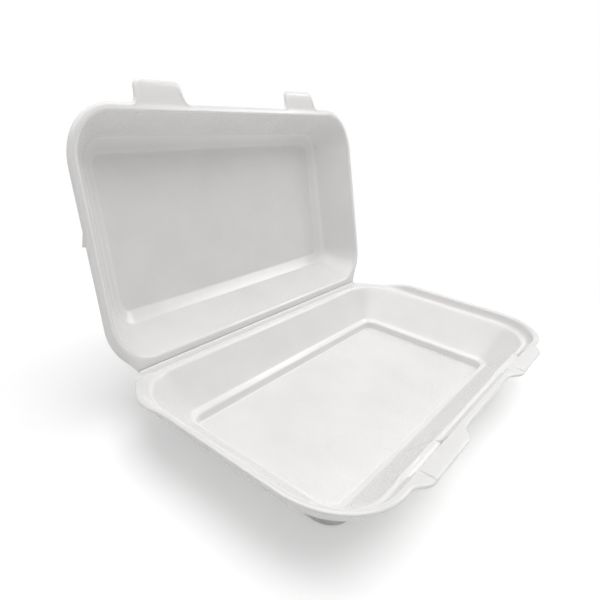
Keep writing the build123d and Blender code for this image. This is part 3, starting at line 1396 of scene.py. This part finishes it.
    def _valley(self, reach: float) -> float:
        """Finds how the flange dips beside the crease and comes back up to its bead.

        Args:
            reach: The distance from the crease.

        Returns:
            How far outwards the flange lies there, less than nothing at the bead itself.
        """
        if reach < self.valley_reach:
            return (self.valley_depth + self.valley_lip) * ease(reach / self.valley_reach) - self.valley_lip
        return self.valley_depth * (1 - ease((reach - self.valley_reach) / self.valley_run))

    def _bend(self, reach: float) -> float:
        """Returns how far a tab leans back at a reach, bent where the lid is latched."""
        along = (reach - self.reach + self.tab_bend_lead) / (self.tab.out + self.tab_bend_lead)
        return self.tab_bend * max(0.0, along) ** self.tab_bend_power

    def add_lugs(self) -> list[bpy.types.Object]:
        """Models the wedge lug on each end wall.

        Returns:
            The two lugs.
        """
        bevel = self._bevel()
        share = (self.lug_depth - self.rise) / (bevel.depth - self.rise)
        foot = self.wall_top.mixed(bevel, share).half_length + self.sheet
        sunk = foot - self.sheet * self.lug_sunk_share
        far = self.lug_reach + self.lug_length
        profile = [(sunk, self.lug_reach), (foot + self.lug_out, self.lug_reach), (foot, far), (sunk, far)]
        placement = Placement.of(Half.LID)
        lugs = []
        for name, side in (("lid_lug_left", -1), ("lid_lug_right", 1)):
            outline = [placement.place((side * x, reach, self.lug_depth)) for x, reach in profile]
            lug = prism(name, outline, placement.outward * self.lug_height * MM)
            bpy.ops.object.mode_set(mode="EDIT")
            bpy.ops.mesh.select_all(action="SELECT")
            bpy.ops.mesh.bevel(offset=self.lug_rounding * MM, segments=self.lug_rounding_spans)
            bpy.ops.object.mode_set(mode="OBJECT")
            lugs.append(lug)
        return lugs


@dataclass
class CreaseLooks:
    """The pressed crease that hinges the lid: a thin bead that runs into the tray's flange."""

    bead_radius: float = 0.72
    bead_rise: float = 0.22
    end_taper: float = 3.0
    end_share: float = 0.35
    spans: int = 110

    # Round part of the section, in degrees, and the tail under the flange
    round_start: float = 40.0
    round_turn: float = 280.0
    round_spans: int = 22
    tail: float = 1.8
    tail_depth: float = 1.1
    tail_sheet: float = 0.5

    # Slow waves of the bead's radius: share of it, radians for each millimetre, and start
    waves: tuple[Triple, ...] = ((0.03, 0.41, 0.0), (0.025, 1.13, 1.0))

    def build(self) -> bpy.types.Object:
        """Draws the crease's section along its length, a little uneven as pressed foam is.

        Returns:
            The crease's mesh object.
        """
        rings = []
        for index in range(self.spans + 1):
            x = -CREASE_HALF + 2 * CREASE_HALF * index / self.spans
            from_end = CREASE_HALF - abs(x)
            taper = self.end_share + (1 - self.end_share) * math.sqrt(ease(from_end / self.end_taper))
            uneven = 1 + sum(share * math.sin(x * pace + start) for share, pace, start in self.waves)
            rings.append(self._section(x, self.bead_radius * taper * uneven))
        return FormedSheet("crease_bead", Placement.of(Half.TRAY)).build(rings)

    def _section(self, x: float, radius: float) -> list[Point]:
        """Returns the bead's section with its tail, at one place along the crease.

        Args:
            x: The place along the crease.
            radius: The bead's radius there.

        Returns:
            The closed section's points.
        """
        spans = self.round_spans
        angles = [math.radians(self.round_start + self.round_turn * i / spans) for i in range(spans + 1)]
        bead = [(x, radius * math.cos(a), -radius * math.sin(a) - self.bead_rise) for a in angles]
        return bead + [(x, self.tail, self.tail_depth + self.tail_sheet), (x, self.tail, self.tail_depth)]


@dataclass(frozen=True)
class Softbox:
    """One soft light: its place and size in metres, and its power in watts."""

    name: str
    place: Triple
    size: Pair
    watts: float


@dataclass
class Studio:
    """The white sweep, the soft light and the camera of the photograph."""

    # Camera: its place in millimetres, its turns in degrees, and the photograph's frame in pixels
    camera_place: Triple = (-228.27, -100.56, 151.84)
    azimuth: float = -49.4
    elevation: float = 26.2
    roll: float = 4.4
    focal_px: float = 495.5
    axis_px: Pair = (231.6, 333.2)
    frame_px: float = 600.0
    sensor: float = 36.0

    # Floor, lights and the point that they face, in metres, and the strength of the room's fill
    clip_start: float = 0.01
    floor_size: float = 12.0
    aim: Triple = (0.0, 0.03, 0.04)
    fill: float = 0.23
    softboxes: tuple[Softbox, ...] = (
        Softbox("overhead_softbox", place=(0.07, 0.0, 1.25), size=(1.4, 1.2), watts=11.6),
        Softbox("left_softbox", place=(-1.0, -0.3, 0.8), size=(0.6, 0.7), watts=0.5),
        Softbox("right_softbox", place=(0.95, -0.28, 0.86), size=(0.4, 0.4), watts=2.0),
    )

    def add_camera(self) -> bpy.types.Object:
        """Sets the camera where the photograph was taken from.

        Returns:
            The camera.
        """
        deselect_all()
        bpy.ops.object.camera_add()
        camera = bpy.context.object
        camera.name = "photo_camera"
        azimuth, elevation, roll = (math.radians(a) for a in (self.azimuth, self.elevation, self.roll))
        back = Vector((math.sin(azimuth) * math.cos(elevation), -math.cos(azimuth) * math.cos(elevation),
                       math.sin(elevation)))
        level_right = Vector((math.cos(azimuth), math.sin(azimuth), 0))
        level_up = back.cross(level_right)
        right = level_right * math.cos(roll) + level_up * math.sin(roll)
        up = level_up * math.cos(roll) - level_right * math.sin(roll)
        turn = Matrix((right, up, back)).transposed().to_4x4()
        camera.matrix_world = Matrix.Translation(Vector(self.camera_place) * MM) @ turn
        camera.data.sensor_width = self.sensor
        camera.data.lens = self.focal_px / self.frame_px * self.sensor
        camera.data.shift_x = 0.5 - self.axis_px[0] / self.frame_px
        camera.data.shift_y = self.axis_px[1] / self.frame_px - 0.5
        camera.data.clip_start = self.clip_start
        bpy.context.scene.camera = camera
        return camera

    def add_floor(self) -> bpy.types.Object:
        """Lays the sweep that the box stands on.

        Returns:
            The floor.
        """
        deselect_all()
        bpy.ops.mesh.primitive_plane_add(size=self.floor_size, location=(0, 0, 0))
        floor = bpy.context.object
        floor.name = "studio_floor"
        floor.data.materials.append(SweepFinish().make())
        return floor

    def _hang(self, softbox: Softbox) -> None:
        """Hangs one soft light that points at the box.

        Args:
            softbox: The light's place, size and power.
        """
        deselect_all()
        bpy.ops.object.light_add(type="AREA", location=softbox.place)
        lamp = bpy.context.object
        lamp.name = softbox.name
        lamp.data.shape = "RECTANGLE"
        lamp.data.size, lamp.data.size_y = softbox.size
        lamp.data.energy = softbox.watts
        towards = Vector(self.aim) - lamp.location
        lamp.rotation_euler = towards.to_track_quat("-Z", "Y").to_euler()

    def add_lights(self) -> None:
        """Hangs a large soft light over the box and one each side, and fills the room with an even white."""
        for softbox in self.softboxes:
            self._hang(softbox)
        world = bpy.data.worlds.new("white_room")
        bpy.context.scene.world = world
        tree = NodeTree.of(world)
        path = tree.add("ShaderNodeLightPath")
        seen = tree.add("ShaderNodeMath", {"operation": "MAXIMUM"}, {
            0: path.outputs["Is Camera Ray"], 1: path.outputs["Is Glossy Ray"]})
        strength = tree.add("ShaderNodeMapRange", inputs={
            "Value": seen.outputs["Value"], "To Min": self.fill, "To Max": 1.0})
        backdrop = tree.add("ShaderNodeBackground", inputs={
            "Color": (1, 1, 1, 1), "Strength": strength.outputs["Result"]})
        tree.add("ShaderNodeOutputWorld", inputs={"Surface": backdrop.outputs["Background"]})
        bpy.context.scene.view_settings.view_transform = "Standard"


def main() -> None:
    logging.basicConfig(level=logging.INFO, format="%(name)s: %(message)s")
    foam = FoamFinish().make()
    skin = FoamSkin()

    tray_looks = TrayLooks()
    tray = tray_looks.build()
    tray_looks.cut_slits(tray)
    skin.dress(tray, foam)
    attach(tray, Half.TRAY.value)
    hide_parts("base_tray")
    log.info("tray: %d faces", len(tray.data.polygons))

    lid_looks = LidLooks()
    lid = lid_looks.build()
    skin.dress(lid, foam)
    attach(lid, Half.LID.value)
    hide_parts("lid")
    log.info("lid: %d faces", len(lid.data.polygons))
    for lug in lid_looks.add_lugs():
        skin.dress(lug, foam)
        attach(lug, Half.LID.value)
        log.info("%s: %d faces", lug.name, len(lug.data.polygons))

    bead = CreaseLooks().build()
    skin.dress(bead, foam)
    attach(bead, Half.TRAY.value)
    log.info("crease bead: %d faces", len(bead.data.polygons))

    studio = Studio()
    studio.add_camera()
    studio.add_floor()
    studio.add_lights()


if __name__ == "__main__":
    main()
